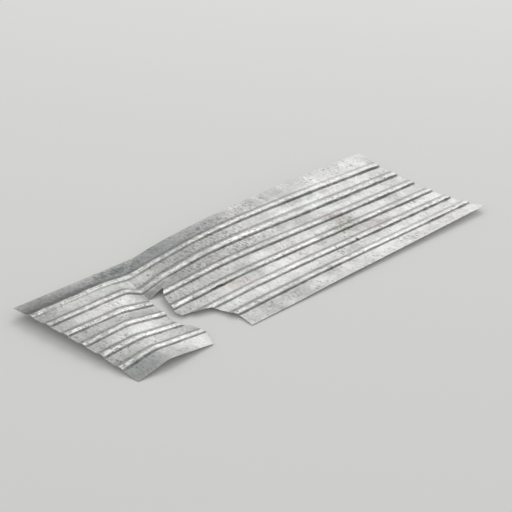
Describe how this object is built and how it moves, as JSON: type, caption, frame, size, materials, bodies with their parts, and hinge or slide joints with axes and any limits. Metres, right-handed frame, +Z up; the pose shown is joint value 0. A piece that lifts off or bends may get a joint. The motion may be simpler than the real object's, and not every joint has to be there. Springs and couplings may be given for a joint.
{
  "type": "corrugated metal sheet",
  "caption": "Galvanised steel sheet with straight raised ribs along it, buckled and torn open near one end, lying loose on the ground.",
  "frame": {"origin": "on the ground, under the middle of the sheet's outline", "axes": "+X along the ribs towards the sound end, +Y across the ribs towards the untorn back edge, +Z up"},
  "size_m": [2.434, 0.8892, 0.0839],
  "materials": {
    "galvanised_steel": "weathered hot-dip zinc, dull and mottled"
  },
  "bodies": {
    "root": {"corrugated_sheet": "galvanised_steel"}
  },
  "joints": []
}
